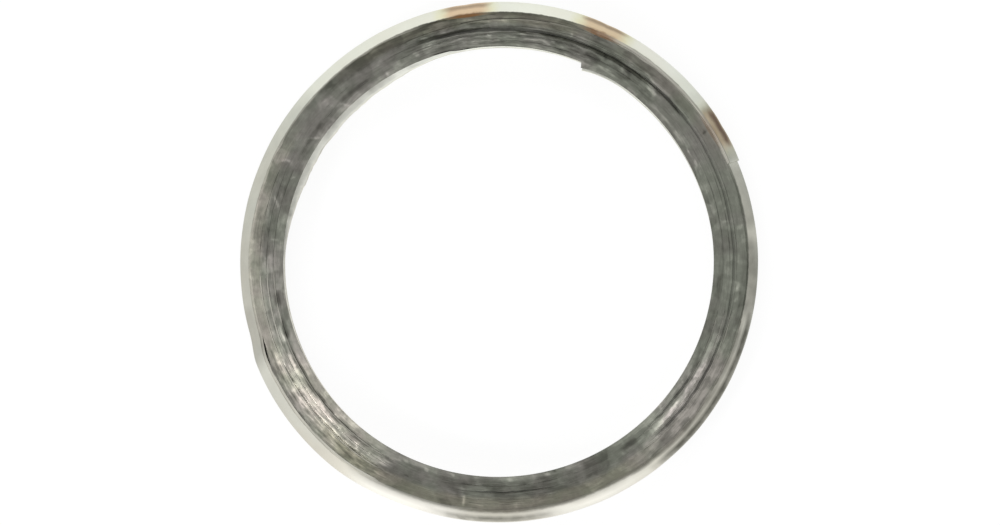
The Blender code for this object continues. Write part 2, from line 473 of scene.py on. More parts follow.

# %% [markdown]
# Marks of making and use
#
# The face isn't the same all round: the graphite has split along some stretches and differs in tone
# on others. Some marks are painted light: a painted sheen lightens the lower left, and painted
# shade darkens the top. Each mark is a soft patch between two directions and two radii, and marks
# that overlap add up. They serve both strips, so they run across steel and graphite alike. Noise
# bends their edges.

# %% Marks on the face
# Each mark: from and to in degrees, from and to in mm of radius, how much lighter
# Some marks are painted light: the light ones at the lower left paint a sheen, the dark ones along
# the top paint shade.
TONE_AND_PAINTED_LIGHT_MARKS = (
    (50, 112, 29.6, 30.4, -0.11), (50, 112, 28.1, 31, -0.05), (36, 80, 30.9, 32.3, -0.04),
    (96, 136, 30.6, 32.3, -0.17), (112, 130, 28.9, 30.8, -0.05), (154, 176, 28.8, 30.4, -0.05),
    (155, 196, 31.78, 32.6, 0.18), (146, 174, 30.4, 32.2, 0.05), (162, 203, 30.4, 32.2, 0.08),
    (178, 205, 27.9, 32.3, 0.1), (114, 150, 27.5, 28, 0.12), (116, 142, 27.95, 28.45, 0.12),
    (124, 160, 28.05, 29.3, -0.06), (98, 116, 28.2, 30.9, -0.07), (58, 70, 27.2, 27.8, 0.1),
    (203, 231, 29.15, 31.1, 0.4), (214, 236, 31, 32.3, 0.13), (203, 224, 30.9, 32, 0.13),
    (203, 239, 27.7, 28.8, 0.28), (232, 240, 29.4, 30.6, 0.14), (48, 74, 30.9, 31.9, -0.06),
    (198, 232, 28.68, 29.14, -0.16), (246, 304, 28, 30.7, -0.12), (312, 337, 29.15, 29.85, 0.26),
    (303, 342, 30.3, 32.3, 0.06), (306, 332, 27.6, 28.45, 0.12), (304, 334, 28.4, 32.1, 0.03),
    (351, 358, 28.3, 28.95, -0.14), (36, 72, 30.62, 30.9, 0.09), (18, 66, 28, 28.45, 0.06),
    (36, 78, 28.5, 29.4, -0.05), (326, 346, 28.2, 29.2, -0.06), (192, 204, 30.9, 31.9, -0.03),
    (108, 120, 28.2, 29.2, 0.06), (243, 270, 30.9, 32.3, -0.03), (243, 264, 27.8, 28.45, 0.14),
    (268, 292, 27.8, 28.4, 0.12), (76, 112, 31.82, 32.5, -0.12), (342, 349, 27.9, 28.8, -0.08),
    (0, 22, 31.4, 32, 0.04), (26, 48, 31.7, 32.15, 0.06), (350, 362, 30.8, 31.4, 0.06),
    (74, 112, 28.9, 29.12, 0.16), (72, 108, 29.62, 29.8, 0.14), (70, 102, 27.95, 28.2, 0.12),
    (352, 375, 28.9, 29.05, -0.05), (58, 74, 28.4, 29.4, -0.06), (110, 126, 29.8, 30.9, 0.05),
    (12, 30, 28.3, 28.9, 0.04), (344, 356, 31.3, 32.1, -0.08))
# Each warm patch, where the face is more olive: from and to, amount
WARM_MARKS = (
    (148, 206, 30.5, 32.4, 0.35), (226, 306, 30.6, 32.4, 0.75), (70, 128, 30.8, 32.4, 0.7),
    (204, 238, 27.6, 32, 0.35), (306, 340, 30.4, 32.3, 0.15), (28, 62, 30.8, 32.4, 0.3))
# Each patch that is greener, or pinker where the amount is below 0: from and to, amount
GREEN_MARKS = (
    (338, 382, 27, 33, 0.55), (296, 318, 27.5, 30, 0.5), (312, 340, 29.5, 32, -0.8),
    (196, 240, 27.5, 32, -0.1), (126, 160, 28, 31, -0.35), (40, 80, 27.5, 31, 0.2))
# Each stretch where fine lines along the winding are strong: from and to, strength. Those at the
# lower left and right paint glints of the turns. Below 0 the graphite is smooth and even.
LINE_AND_GLINT_MARKS = (
    (200, 241, 28.7, 32.1, 1), (50, 113, 28, 32, 0.55), (258, 284, 28.5, 31.3, 0.45),
    (310, 348, 28, 31.8, 0.45), (158, 198, 28.4, 30.9, 0.3), (10, 46, 27.8, 28.6, 0.3),
    (12, 44, 28.6, 32.6, -0.4), (336, 350, 28.4, 32, -0.2))
# Each split: from and to in degrees, from and to in mm of radius, depth in mm
SPLITS = (
    (352, 410, 30.22, 30.48, 0.13), (50, 110, 29.78, 30.28, 0.21), (313, 336, 30.2, 30.46, 0.18),
    (332, 352, 30.24, 30.44, 0.12), (38, 54, 30.06, 30.46, 0.16), (198, 234, 28.86, 29.02, 0.07),
    (262, 282, 29.66, 29.84, 0.15), (313, 329, 28.62, 28.86, 0.18), (66, 108, 28.5, 28.66, 0.12),
    (66, 108, 29.32, 29.48, 0.1), (205, 236, 30.46, 30.6, 0.14), (262, 276, 31.2, 31.34, 0.1))
# Each flake: direction, radius in mm, half length and half width in mm, turn from the radial
# direction in degrees, amount
FLAKES = (
    (48.2, 29.68, 0.85, 0.3, 80, 0.2), (46.8, 29.2, 0.45, 0.24, 20, 0.16),
    (294.4, 28.75, 0.8, 0.24, 80, -0.07), (297.4, 28.95, 0.5, 0.18, 100, -0.05),
    (305.8, 29, 1.3, 0.32, 88, -0.19), (131, 28.95, 2, 0.34, 88, -0.16),
    (146, 28.95, 2.3, 0.32, 92, -0.16), (189.4, 28.85, 1.15, 0.4, 88, -0.27),
    (197.4, 28.8, 1.5, 0.4, 88, -0.26), (55, 29.3, 0.6, 0.3, 40, -0.14),
    (59.5, 29.55, 0.7, 0.28, 60, -0.12), (66.5, 29.1, 0.55, 0.22, 70, -0.12),
    (78, 28.95, 0.8, 0.14, 85, 0.16), (84, 29.5, 0.9, 0.12, 88, 0.12),
    (70, 28.6, 0.7, 0.14, 88, 0.14), (62, 28.35, 0.6, 0.16, 80, 0.14),
    (104, 29.1, 0.9, 0.16, 88, -0.14), (99, 30.3, 0.8, 0.2, 88, -0.12),
    (120, 31.2, 1.1, 0.26, 88, -0.1), (127, 31.6, 0.9, 0.26, 80, -0.1),
    (133.5, 31.3, 0.6, 0.2, 70, -0.1), (261.7, 31, 1.2, 0.2, 8, 0.25),
    (260.9, 29.6, 0.45, 0.3, 30, 0.12), (154.5, 30.35, 0.5, 0.2, 10, 0.2),
    (134, 28.1, 1, 0.16, 28, 0.14), (146.2, 28.7, 0.75, 0.14, 35, 0.16),
    (165, 29.6, 0.8, 0.16, -55, 0.14), (163, 29.3, 0.5, 0.16, -50, 0.1),
    (72, 30.7, 0.35, 0.16, 15, 0.18), (12.8, 29.75, 0.42, 0.14, 5, 0.12),
    (9.8, 29.6, 0.4, 0.14, -8, 0.08), (8, 31.4, 0.55, 0.34, 25, 0.09),
    (62.2, 29.7, 0.55, 0.16, 25, -0.14), (57, 29.4, 0.45, 0.16, 25, 0.14),
    (111.6, 28.8, 0.42, 0.3, 30, 0.16), (116.8, 28.7, 0.3, 0.3, 0, 0.12),
    (108.8, 30.42, 0.7, 0.12, 88, 0.18), (350.5, 30.9, 0.35, 0.22, 80, 0.13),
    (353.6, 30.95, 0.3, 0.16, 80, 0.16), (306, 29.6, 0.6, 0.24, 60, 0.1),
    (303.2, 29.6, 0.24, 0.14, 10, 0.16), (312, 29, 1.3, 0.26, 0, 0.1),
    (317.8, 28.2, 0.55, 0.16, -40, 0.16), (327, 28.2, 0.55, 0.16, -35, 0.14),
    (329, 29.3, 0.5, 0.18, 25, -0.14), (174.5, 29, 0.5, 0.16, 0, 0.13),
    (139.5, 28.3, 0.45, 0.24, 30, 0.12), (120.5, 28.2, 0.3, 0.18, 0, 0.14),
    (157.8, 28.7, 0.5, 0.14, 40, 0.12), (273, 28.2, 0.35, 0.24, 60, 0.18),
    (283, 28.15, 0.45, 0.22, 70, 0.18), (285, 27.95, 0.3, 0.14, 80, -0.25),
    (251, 28.4, 0.35, 0.22, 60, 0.18), (258, 28.15, 0.35, 0.22, 60, 0.18),
    (245, 28.3, 0.45, 0.2, 70, 0.14), (26.5, 28.45, 0.45, 0.12, 88, 0.2),
    (30, 28.3, 0.25, 0.12, 88, 0.2), (36, 28.35, 0.35, 0.1, 88, 0.14),
    (94, 31.1, 0.5, 0.18, 80, 0.1), (95.5, 30.3, 0.3, 0.16, 0, 0.16),
    (92.5, 29.3, 0.35, 0.16, 40, 0.14), (76, 29.3, 0.3, 0.16, 60, 0.18),
    (74, 29.9, 0.25, 0.14, 60, 0.16), (226, 30.3, 0.35, 0.14, 80, 0.22),
    (233, 30.2, 0.4, 0.16, 40, 0.22), (236, 29.7, 0.35, 0.2, 20, 0.18),
    (193.5, 29.6, 0.4, 0.22, 50, 0.12), (200, 29.4, 0.5, 0.2, 70, 0.14),
    (207, 29.3, 0.3, 0.18, 40, 0.14), (32, 31.36, 0.28, 0.2, 30, -0.24),
    (246.8, 30, 0.16, 0.14, 0, -0.24))

# %% [markdown]
# From marks to numbers on points
#
# A strip's finish varies from point to point, so each mark has to become a number on each point.
# Arrays do that for all points of a strip at once. The numbers are kept as attributes, which stay
# in place on the strip when it moves.

# %% Helpers that spread marks over a strip
LONGEST_SOFT_DEG, SOFT_SHARE = 13.0, 0.9
WOBBLE_MM, WOBBLE_DEG, SLOW_WOBBLE = 0.16, 2.4, 0.45
FLAKE_SIZE, FLAKE_WOBBLE = 1.4, 0.35


def smooth_array(share):
    """smooth_step for a whole array."""
    share = np.clip(share, 0.0, 1.0)
    return share * share * (3.0 - 2.0 * share)


def points_of(piece):
    """Where each point is: degrees, mm from the axis and above the middle, turns, and noise."""
    spots = spots_of(piece) / MM
    places = np.empty(len(spots))
    piece.data.attributes["place"].data.foreach_get("value", places)
    bend = np.array([noise.noise(spot) + noise.noise(spot * SLOW_WOBBLE)
                     for spot in map(Vector, spots)])
    return SimpleNamespace(degrees=np.degrees(np.arctan2(spots[:, 1], spots[:, 0])) % 360.0,
                           radius=np.hypot(spots[:, 0], spots[:, 1]),
                           above=spots[:, 2] - MIDDLE_HEIGHT / MM, places=places, bend=bend)


def soft_patch(mark, points, across, bend):
    """One mark's amount at each point, by its direction and by its radius or height."""
    start, end, low, high, amount = mark
    half_turn, half_width = (end - start) / 2, (high - low) / 2
    off = np.abs(turned_from(start + half_turn, points.degrees + WOBBLE_DEG * bend))
    beside = np.abs(across + WOBBLE_MM * bend - low - half_width)
    soft_turn = min(LONGEST_SOFT_DEG, SOFT_SHARE * half_turn)
    return (amount * smooth_array((half_turn - off) / soft_turn + 0.5)
            * smooth_array((half_width - beside) / (SOFT_SHARE * half_width) + 0.5))


def on_face(marks, points, bending=1.0):
    """The sum of all marks at each point, by direction and radius."""
    return sum(soft_patch(mark, points, points.radius, bending * points.bend) for mark in marks)


def on_flank(marks, points, bending=1.0):
    """The strongest mark at each point, by direction and height, so that neighbours don't add."""
    return np.max([soft_patch(mark, points, points.above, bending * points.bend)
                   for mark in marks], axis=0)


def face_tone_and_painted_light(points):
    """How much lighter or darker than plain graphite each point is: its marks, painted sheen and
    shade among them, and its flakes.
    """
    total = on_face(TONE_AND_PAINTED_LIGHT_MARKS, points)
    for centre, middle, half_length, half_width, heading, amount in FLAKES:
        along = np.radians(turned_from(centre, points.degrees)) * points.radius
        out = points.radius - middle
        cos, sin, _ = pointing(heading)
        away = np.hypot((out * cos + along * sin) / half_length,
                        (along * cos - out * sin) / half_width)
        total += amount * smooth_array(FLAKE_SIZE - away + FLAKE_WOBBLE * points.bend)
    return total


def keep_values(piece, name, values):
    """Store one number for each point of a piece, for its material to read."""
    stored = piece.data.attributes.new(name, "FLOAT", "POINT")
    stored.data.foreach_set("value", values)
    print(piece.name, name, "from", round(min(values), 2), "to", round(max(values), 2))


# %% [markdown]
# Splits and tones
#
# A split is a real groove in the graphite's top face, so its depth is taken off the points. The
# steel's edges beside it don't move, but painted shade darkens them there.

# %% Press the splits and store the tones
SPLIT_WOBBLE = 0.45
PRESSED_FROM_MM, PRESSED_OVER_MM = 0.8, 0.45
FULL_SPLIT_MM = 0.3
FIRST_EDGE_TONE = 0.12
# Painted shade on the steel's edges beside a split
SPLIT_SHADE_ON_EDGES = 0.45


def press_splits(piece, depth):
    """Lower the graphite's top face along its splits."""
    spots = spots_of(piece)
    top = smooth_array(((spots[:, 2] - cad_high.z) / MM + PRESSED_FROM_MM) / PRESSED_OVER_MM)
    spots[:, 2] -= depth * top * MM
    piece.data.vertices.foreach_set("co", spots.ravel())
    piece.data.update()


graphite_depth = on_face(SPLITS, points_of(graphite), SPLIT_WOBBLE)
press_splits(graphite, graphite_depth)
graphite_points, steel_points = points_of(graphite), points_of(steel)
steel_depth = on_face(SPLITS, steel_points, SPLIT_WOBBLE)
steel_tone_and_painted_light = face_tone_and_painted_light(steel_points)
keep_values(graphite, "split", np.clip(graphite_depth / FULL_SPLIT_MM, 0, 1))
keep_values(graphite, "tone", face_tone_and_painted_light(graphite_points))
keep_values(steel, "tone", steel_tone_and_painted_light + FIRST_EDGE_TONE * (steel_points.places < 1)
            - SPLIT_SHADE_ON_EDGES * steel_depth)
for piece, points in ((graphite, graphite_points), (steel, steel_points)):
    for name, marks in (("warm", WARM_MARKS), ("lined", LINE_AND_GLINT_MARKS), ("green", GREEN_MARKS)):
        keep_values(piece, name, np.clip(on_face(marks, points), -1, 1))

# %% [markdown]
# Film and painted shade, painted highlights and bare edges
#
# The bright band isn't even: a thin grey film of oil and graphite dulls it on some stretches, and
# the same film paints the darker reflections there; painted highlights brighten other stretches.
# The wall of the hole has a grey film of its own, which paints its shade, and a painted highlight
# on its lower half. The edges of the last turns are worn bare in places, and graphite is rubbed
# over them and down the flank in others. All of it is stored on the steel by direction and by
# height on the flank.

# %% Film and bare edges
# Each mark: from and to in degrees, from and to in mm above the strip's middle, amount
# Painted shade: besides dulling the band, the film greys the stretches where its reflection is
# darker.
FILM_AND_SHADE_MARKS = (
    (309, 350, 0.3, 1.55, 1.0), (309, 348, -0.9, 0.35, 0.84), (309, 348, 1.5, 3.2, 0.72),
    (346, 366, -1.2, 3.2, 0.68), (366, 383, -1.2, 3.2, 0.5), (383, 388, -1.2, 3.2, 0.52),
    (387, 397, -1.2, 3.2, 0.95), (396, 401, -1.2, 3.2, 0.14), (400, 420, -1.2, 3.2, 0.04),
    (138, 204, -1.2, 3.2, 0.29), (204, 231, -1.2, 3.2, 0.16), (216, 238, 1.8, 3.2, 0.1),
    (255, 286, -1.2, 3.2, 0.24), (257, 282, 0.4, 1.1, 0.82), (257, 284, 1.2, 3.2, 0.36),
    (296, 310, -0.6, 1.2, 0.12), (86, 140, -1.2, 3.2, 0.1), (188, 204, -1.2, 3.2, 0.38),
    (235, 262, 1.6, 3.3, 0.4), (284, 311, 1.6, 3.2, 0.42), (284, 312, -0.5, 0.6, 0.12))
# Where the flank gets a painted highlight
PAINTED_HIGHLIGHT_MARKS = (
    (237, 261, -0.6, 2.6, 1.0), (278, 303, -0.6, 2.4, 0.6), (46, 59, -1.2, 2.2, 0.45))
# The film on the wall of the hole, which also paints its shade, is patchy beyond
# WALL_PATCHY_FROM_DEG
WALL_FILM_AND_SHADE = (
    (118, 148, -2.32, 0.2, 0.54), (146, 166, -2.22, 0.2, 0.52), (162, 186, -2.4, 0.2, 0.66),
    (118, 180, -3.2, 0.2, 0.04), (100, 121, -2.46, 0.2, 0.34), (109, 113, -2.6, -2.2, 0.4),
    (54, 72, -3.2, 3.2, 0.62))
# Where graphite is rubbed down the flank, as a share of SMEAR_REACH
SMEAR_MARKS = (
    (232, 262, 0.0, 9.0, 0.4), (256, 290, 0.0, 9.0, 0.6), (284, 306, 0.0, 9.0, 0.22),
    (300, 320, 0.0, 9.0, 0.9), (360, 382, 0.0, 9.0, 0.3))
SMEAR_REACH = 0.85 * MM
FLANK_MARK_WOBBLE = 0.3
WALL_PATCHY, WALL_PATCHY_FROM_DEG = 0.35, 90
# How bare the edges are on the last lap, as a share elsewhere on the last turns, and on the wall
LAP_BARE, RIM_BARE, WALL_BARE = 0.9, 0.35, 1.6
# How fast dark marks and splits cover a bare edge
DARK_COVERS, SPLIT_COVERS = 4.0, 5.0
# Where the last turns' edge is bare anyway: middle and half the stretch in degrees, amount
CLEARED_EDGES = (
    (134, 24, 0.7), (44, 22, 0.72), (272, 38, 0.1), (178, 24, 0.6), (220, 20, 1.3))
CLEARED_SOFT_DEG = 12
on_last_turn = steel_points.places > WHOLE_TURNS - 1
lower_wall = (steel_points.places < 1) & (steel_points.above < 0)


def film_and_shade_at(points):
    """Film and painted shade on the steel at each point: the last turns have their own, and so has
    the wall.
    """
    outside = on_flank(FILM_AND_SHADE_MARKS, points, FLANK_MARK_WOBBLE)
    patchy = 1 + np.where(points.degrees > WALL_PATCHY_FROM_DEG, WALL_PATCHY, 0) * points.bend
    inside = on_flank(WALL_FILM_AND_SHADE, points, FLANK_MARK_WOBBLE) * patchy
    return np.where(points.places < 1, inside, outside)


def bare_at(points):
    """How free of graphite the steel's edges are at each point."""
    bare = np.array([bareness(value) for value in points.degrees])
    bare *= np.clip(1 + DARK_COVERS * np.minimum(steel_tone_and_painted_light, 0), 0, 1)
    bare *= np.clip(1 - SPLIT_COVERS * steel_depth, 0, 1)
    bare *= np.where((points.places < 1) | (points.places > WHOLE_TURNS - 2), RIM_BARE, 1.0)
    bare = np.where(points.places > WHOLE_TURNS, LAP_BARE, bare)
    for middle, half, amount in CLEARED_EDGES:
        away = np.abs(points.degrees - middle)
        cleared = amount * smooth_array((half - away) / CLEARED_SOFT_DEG + 0.5)
        bare = np.maximum(bare, cleared * on_last_turn)
    return np.where(lower_wall, WALL_BARE, bare)


# Painted highlight on the band's bright stretches, and near white on the lower wall of the hole
painted_highlight = on_flank(PAINTED_HIGHLIGHT_MARKS, steel_points, FLANK_MARK_WOBBLE) * on_last_turn
smear = on_flank(SMEAR_MARKS, steel_points) * (steel_points.above > 0) * on_last_turn
keep_values(steel, "film_and_shade", film_and_shade_at(steel_points))
keep_values(steel, "painted_highlight", np.where(lower_wall, 1.0, painted_highlight))
keep_values(steel, "bare", bare_at(steel_points))
keep_values(steel, "smear", smear)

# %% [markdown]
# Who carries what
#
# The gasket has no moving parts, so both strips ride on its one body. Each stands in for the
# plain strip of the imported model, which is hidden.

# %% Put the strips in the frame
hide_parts("winding_strip")
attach(steel, "root")
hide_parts("graphite_filler")
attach(graphite, "root")

# %% [markdown]
# Small helpers for node materials
#
# A material is a tree of nodes. These helpers add a node with its settings, join it to others and
# name what comes often, so that each finish below reads as a short list. They all work on the
# tree that was started last.


# %% Node helpers
def node(kind, settings=None, **inputs):
    """Add a node with its properties and inputs, named or numbered, and give its outputs."""
    made = tree.nodes.new("ShaderNode" + kind)
    for key, value in (settings or {}).items():
        setattr(made, key, value)
    for key, value in inputs.items():
        socket = made.inputs[int(key[1:]) if key[1:].isdigit() else key.replace("_", " ")]
        if isinstance(value, bpy.types.NodeSocket):
            tree.links.new(value, socket)
        else:
            socket.default_value = value
    return made.outputs


def maths(operation, first, second=0.0, third=0.0):
    """A Math node's result."""
    return node("Math", {"operation": operation}, _0=first, _1=second, _2=third)[0]


def times(first, *others):
    """The product of several values."""
    for other in others:
        first = maths("MULTIPLY", first, other)
    return first


def vector_maths(operation, first, second=(0.0, 0.0, 0.0)):
    """A Vector Math node's outputs: first a vector, then a number."""
    return node("VectorMath", {"operation": operation}, _0=first, _1=second)


def distance_towards(vector, degrees):
    """How far a place lies in a direction seen from above."""
    return vector_maths("DOT_PRODUCT", vector, pointing(degrees))[1]


def parts_of(vector):
    """The three parts of a vector."""
    return node("SeparateXYZ", Vector=vector)


def blend_colours(factor, first, second, how="MIX"):
    """Mix two colours by a factor."""
    return node("Mix", {"data_type": "RGBA", "blend_type": how},
                _0=factor, _6=first, _7=second)[2]


def fade(value, low, high, least=0.0, most=1.0):
    """A smooth ramp of a value between two limits."""
    return node("MapRange", {"interpolation_type": "SMOOTHSTEP"}, Value=value,
                From_Min=low, From_Max=high, To_Min=least, To_Max=most)[0]


def object_place():
    """Object coordinates."""
    return node("TexCoord")["Object"]


def noise_value(scale, detail=3.0, roughness=0.5):
    """Noise on Object coordinates. Its scale is in waves to a metre."""
    return node("TexNoise", Vector=object_place(), Scale=scale, Detail=detail,
                Roughness=roughness)[0]


def stored_value(name):
    """A value that was stored on the piece's points."""
    return node("Attribute", {"attribute_name": name})["Fac"]


def start_group(name, inputs, outputs):
    """Start a node group. Its inputs are numbers with defaults, its outputs have a kind each."""
    global tree
    tree = bpy.data.node_groups.new(name, "ShaderNodeTree")
    for label, default in inputs.items():
        tree.interface.new_socket(
            label, in_out="INPUT", socket_type="NodeSocketFloat").default_value = default
    for label, kind in outputs.items():
        tree.interface.new_socket(label, in_out="OUTPUT", socket_type="NodeSocket" + kind)
    print("node group:", name, "gives", *outputs)
    return tree, tree.nodes.new("NodeGroupInput").outputs, tree.nodes.new("NodeGroupOutput").inputs


def place_group(group, **inputs):
    """Place a node group, set or link its inputs and give its outputs."""
    return node("Group", {"node_tree": group}, **inputs)


def start_material(piece, name, **plain):
    """Give a piece a new material with these plain values on its shader."""
    global tree
    material = bpy.data.materials.new(name)
    material.use_nodes = True
    tree = material.node_tree
    for key, value in plain.items():
        tree.nodes["Principled BSDF"].inputs[key.replace("_", " ")].default_value = value
    piece.data.materials.clear()
    piece.data.materials.append(material)
    print(piece.name, "gets", name)


def finish_material(colour, roughness, height, strength, distance):
    """Link a finish to the shader: its colour, its roughness and the height of its fine relief."""
    bump = node("Bump", Strength=strength, Distance=distance, Height=height)[0]
    for name, value in (("Base Color", colour), ("Roughness", roughness), ("Normal", bump)):
        tree.links.new(value, tree.nodes["Principled BSDF"].inputs[name])


# %% [markdown]
# Streaks along the strip
#
# Rolled steel and wound graphite both carry marks that run along the winding. One group makes
# them for both: noise on the strip's own UV map, stretched along its length.

# %% Group: streaks along the winding
streaks, into, out = start_group(
    "streaks along the winding",
    {"Along": 200.0, "Across": 60.0, "Roughness": 0.6, "Shift": 0.0}, {"Value": "Float"})
uv = parts_of(node("TexCoord")["UV"])
stretched = node("CombineXYZ", X=times(uv[0], into["Along"]),
                 Y=times(uv[1], into["Across"]), Z=into["Shift"])[0]
grain = node("TexNoise", Vector=stretched, Scale=1.0, Detail=4.0, Roughness=into["Roughness"])[0]
streaks.links.new(grain, out["Value"])

# %% [markdown]
# Graphite's tone
#
# Pressed graphite is dark grey with a faint olive cast, and turns silvery where flakes are rubbed
# flat. The steel's edges carry the same tones, because graphite is smeared over them, so this
# group serves both materials. It joins the stored marks, which hold a painted sheen and painted
# shade, with blotches, fine mottle, flakes and fine lines along the winding. The lines are noise
# that changes fast with the radius.

# %% Group: graphite tone
BLOTCH_SCALE, MOTTLE_SCALE, BEND_SCALE, FLAKE_SCALE = 420.0, 1300.0, 900.0, 620.0
CAST_SCALE = 330.0
BEND_REACH = 0.9 * MM
LINE_WIDTH, LINES_AROUND = 0.36 * MM, 13.0
PLAIN_SHADE = 0.468
# How strong each pattern is. Lines follow their stored strength, mottle is stronger on light marks.
BLOTCH_AMOUNT, STREAK_AMOUNT, FLAKE_AMOUNT = 0.30, 0.24, 0.14
LEAST_LINES, PLAIN_LINES, MORE_LINES = 0.05, 0.14, 0.95
PLAIN_MOTTLE, MORE_MOTTLE = 0.18, 0.26
GRAPHITE_STEPS = ((0.0, (0.022, 0.022, 0.018)), (0.25, (0.058, 0.058, 0.047)),
                  (0.50, (0.136, 0.137, 0.117)), (0.75, (0.320, 0.315, 0.278)),
                  (1.0, (0.720, 0.690, 0.620)))
WARM_CAST = (1.03, 0.985, 0.86, 1.0)
PINK_CAST = (1.035, 0.985, 1.03, 1.0)
GREEN_CAST = (0.965, 1.01, 0.965, 1.0)

tones, into, out = start_group("graphite tone", {"Streak": 0.5},
                               {"Colour": "Color", "Shade": "Float"})
spot = object_place()
bending = node("TexNoise", Vector=spot, Scale=BEND_SCALE)[1]
shift = node("VectorMath", {"operation": "SCALE"}, _0=bending, Scale=BEND_REACH)[0]
cells = node("TexVoronoi", {"feature": "SMOOTH_F1"}, Scale=FLAKE_SCALE,
             Vector=vector_maths("ADD", spot, shift)[0], Smoothness=0.35)["Color"]
flat = vector_maths("MULTIPLY", spot, (1.0, 1.0, 0.0))[0]
radius = vector_maths("LENGTH", flat)[1]
layer = node("CombineXYZ", Z=maths("DIVIDE", radius, LINE_WIDTH))[0]
around = node("VectorMath", {"operation": "MULTIPLY_ADD"},
              _0=vector_maths("NORMALIZE", flat)[0],
              _1=(LINES_AROUND, LINES_AROUND, 0.0), _2=layer)[0]
lines = node("TexNoise", Vector=around, Scale=1.0, Detail=3.0, Roughness=0.6)[0]
stored_tone_and_painted_light, stored_lines = stored_value("tone"), stored_value("lined")
line_amount = maths("MAXIMUM", LEAST_LINES,
                    maths("MULTIPLY_ADD", stored_lines, MORE_LINES, PLAIN_LINES))
mottle_amount = maths("MULTIPLY_ADD", fade(stored_tone_and_painted_light, 0.08, 0.35), MORE_MOTTLE, PLAIN_MOTTLE)
uneven = fade(stored_lines, -0.4, 0.0, 0.35, 1.0)
shade = maths("ADD", stored_tone_and_painted_light, PLAIN_SHADE)
for value, amount in (
        (noise_value(BLOTCH_SCALE, 3.0, 0.6), times(uneven, BLOTCH_AMOUNT)),
        (noise_value(MOTTLE_SCALE, 3.0, 0.6), mottle_amount),
        (into["Streak"], STREAK_AMOUNT),
        (node("SeparateColor", Color=cells)[0], times(uneven, FLAKE_AMOUNT)),
        (lines, line_amount)):
    shade = maths("ADD", shade, times(maths("SUBTRACT", value, 0.5), amount))

# %% [markdown]
# Graphite's colour
#
# A ramp turns the shade into a colour, from nearly black to silvery. The stored casts then make
# it more olive, greener or pinker.

# %% The colour of each shade
shaded = node("ValToRGB", _0=shade)[0]
stops = shaded.node.color_ramp.elements
while len(stops) < len(GRAPHITE_STEPS):
    stops.new(0.5)
for stop, (position, colour) in zip(stops, GRAPHITE_STEPS):
    stop.position = position
    stop.color = (*colour, 1.0)
warmed = blend_colours(stored_value("warm"), shaded, WARM_CAST, "MULTIPLY")
green = maths("ADD", stored_value("green"), fade(noise_value(CAST_SCALE, 2.0), 0.25, 0.75))
green = maths("MINIMUM", maths("MAXIMUM", green, 0.0), 1.0)
cast = blend_colours(green, PINK_CAST, GREEN_CAST)
tones.links.new(blend_colours(1.0, warmed, cast, "MULTIPLY"), out["Colour"])
tones.links.new(shade, out["Shade"])

# %% [markdown]
# Heat marks round the spot welds
#
# A spot weld leaves a dark brown line beside the crest, a pale copper bloom over the whole flank,
# a stronger orange at the flank's upper edge and a straw yellow fringe. The marks are made by the
# distance from each weld, along the strip and up the flank, bent a little by noise.

# %% Group: heat marks
# Each weld: direction, how far the brown line reaches along and up the flank in mm, and how
# strong the line, the bloom, the edge and the fringe are
WELD_MARKS = (
    (31.5, 3.4, 1.85, 0.8, 0.4, 0.42, 0.25), (65.7, 3.9, 1.45, 0.56, 0.68, 0.85, 0.75),
    (97.3, 4.0, 1.6, 0.48, 0.8, 0.95, 0.7))
# Only the turns beyond this radius are heated. Further in, this many mm are added to the distance.
HEATED_FROM, HEATED_TO, COLD_MM = 31.60 * MM, 31.90 * MM, 6.0
WANDER_SCALE = 800.0

heat, into, out = start_group(
    "heat marks", {"Bend": 0.9}, dict.fromkeys(("Core", "Bloom", "Edge", "Fringe"), "Float"))
wander = times(maths("SUBTRACT", noise_value(WANDER_SCALE, 2.0), 0.5), into["Bend"])
spot = object_place()
above = maths("DIVIDE", maths("SUBTRACT", parts_of(spot)[2], MIDDLE_HEIGHT), MM)
up_flank = maths("ADD", maths("ABSOLUTE", above), wander)
above = maths("MULTIPLY_ADD", wander, 0.5, above)


def falls_off(value, start, end):
    """1 up to one distance and 0 beyond another."""
    return fade(value, start, end, 1.0, 0.0)


def along_from(weld):
    """Distance along the strip from a weld, in mm, on the heated turns only."""
    sideways = maths("ABSOLUTE", distance_towards(spot, weld + 90.0))
    cold = fade(distance_towards(spot, weld), HEATED_FROM, HEATED_TO, COLD_MM, 0.0)
    return maths("ADD", maths("ADD", maths("DIVIDE", sideways, MM), wander), cold)


# Each mark fades between two distances in mm, along the strip and up the flank
total = {}
for weld, reach, climb, line, bloom, edge, fringe in WELD_MARKS:
    along = along_from(weld)
    for label, mask in (
            ("Core", (falls_off(along, reach * 0.45, reach), fade(above, 0.2, 0.7),
                      falls_off(above, climb * 0.5, climb), line)),
            ("Bloom", (falls_off(along, 1.8, 3.6), falls_off(up_flank, 2.8, 3.6), bloom)),
            ("Edge", (falls_off(along, 0.8, 3.2), fade(up_flank, 2.0, 2.5), edge)),
            ("Fringe", (falls_off(along, 3.0, 4.8), falls_off(up_flank, 2.8, 3.4), fringe))):
        total[label] = maths("MAXIMUM", total.get(label, 0.0), times(*mask))
for label, mask in total.items():
    heat.links.new(mask, out[label])

# %% [markdown]
# Stainless steel
#
# The flank of the last turn is clean and bright. Along the edges of the strip graphite has been
# rubbed over the metal, except on the stretches where the edges are worn bare. The stored film
# greys the metal where shade and darker reflections are painted, and the stored highlight paints it
# near white. The roughness follows the rolling streaks.

# %% Material: stainless steel
STEEL_CLEAN = (0.85, 0.855, 0.785, 1.0)
STEEL_WARM = (0.83, 0.81, 0.73, 1.0)
STEEL_BARE_EDGE = (0.72, 0.70, 0.62, 1.0)
# Near-white colour of the painted highlight
STEEL_PAINTED_HIGHLIGHT = (0.985, 0.975, 0.925, 1.0)
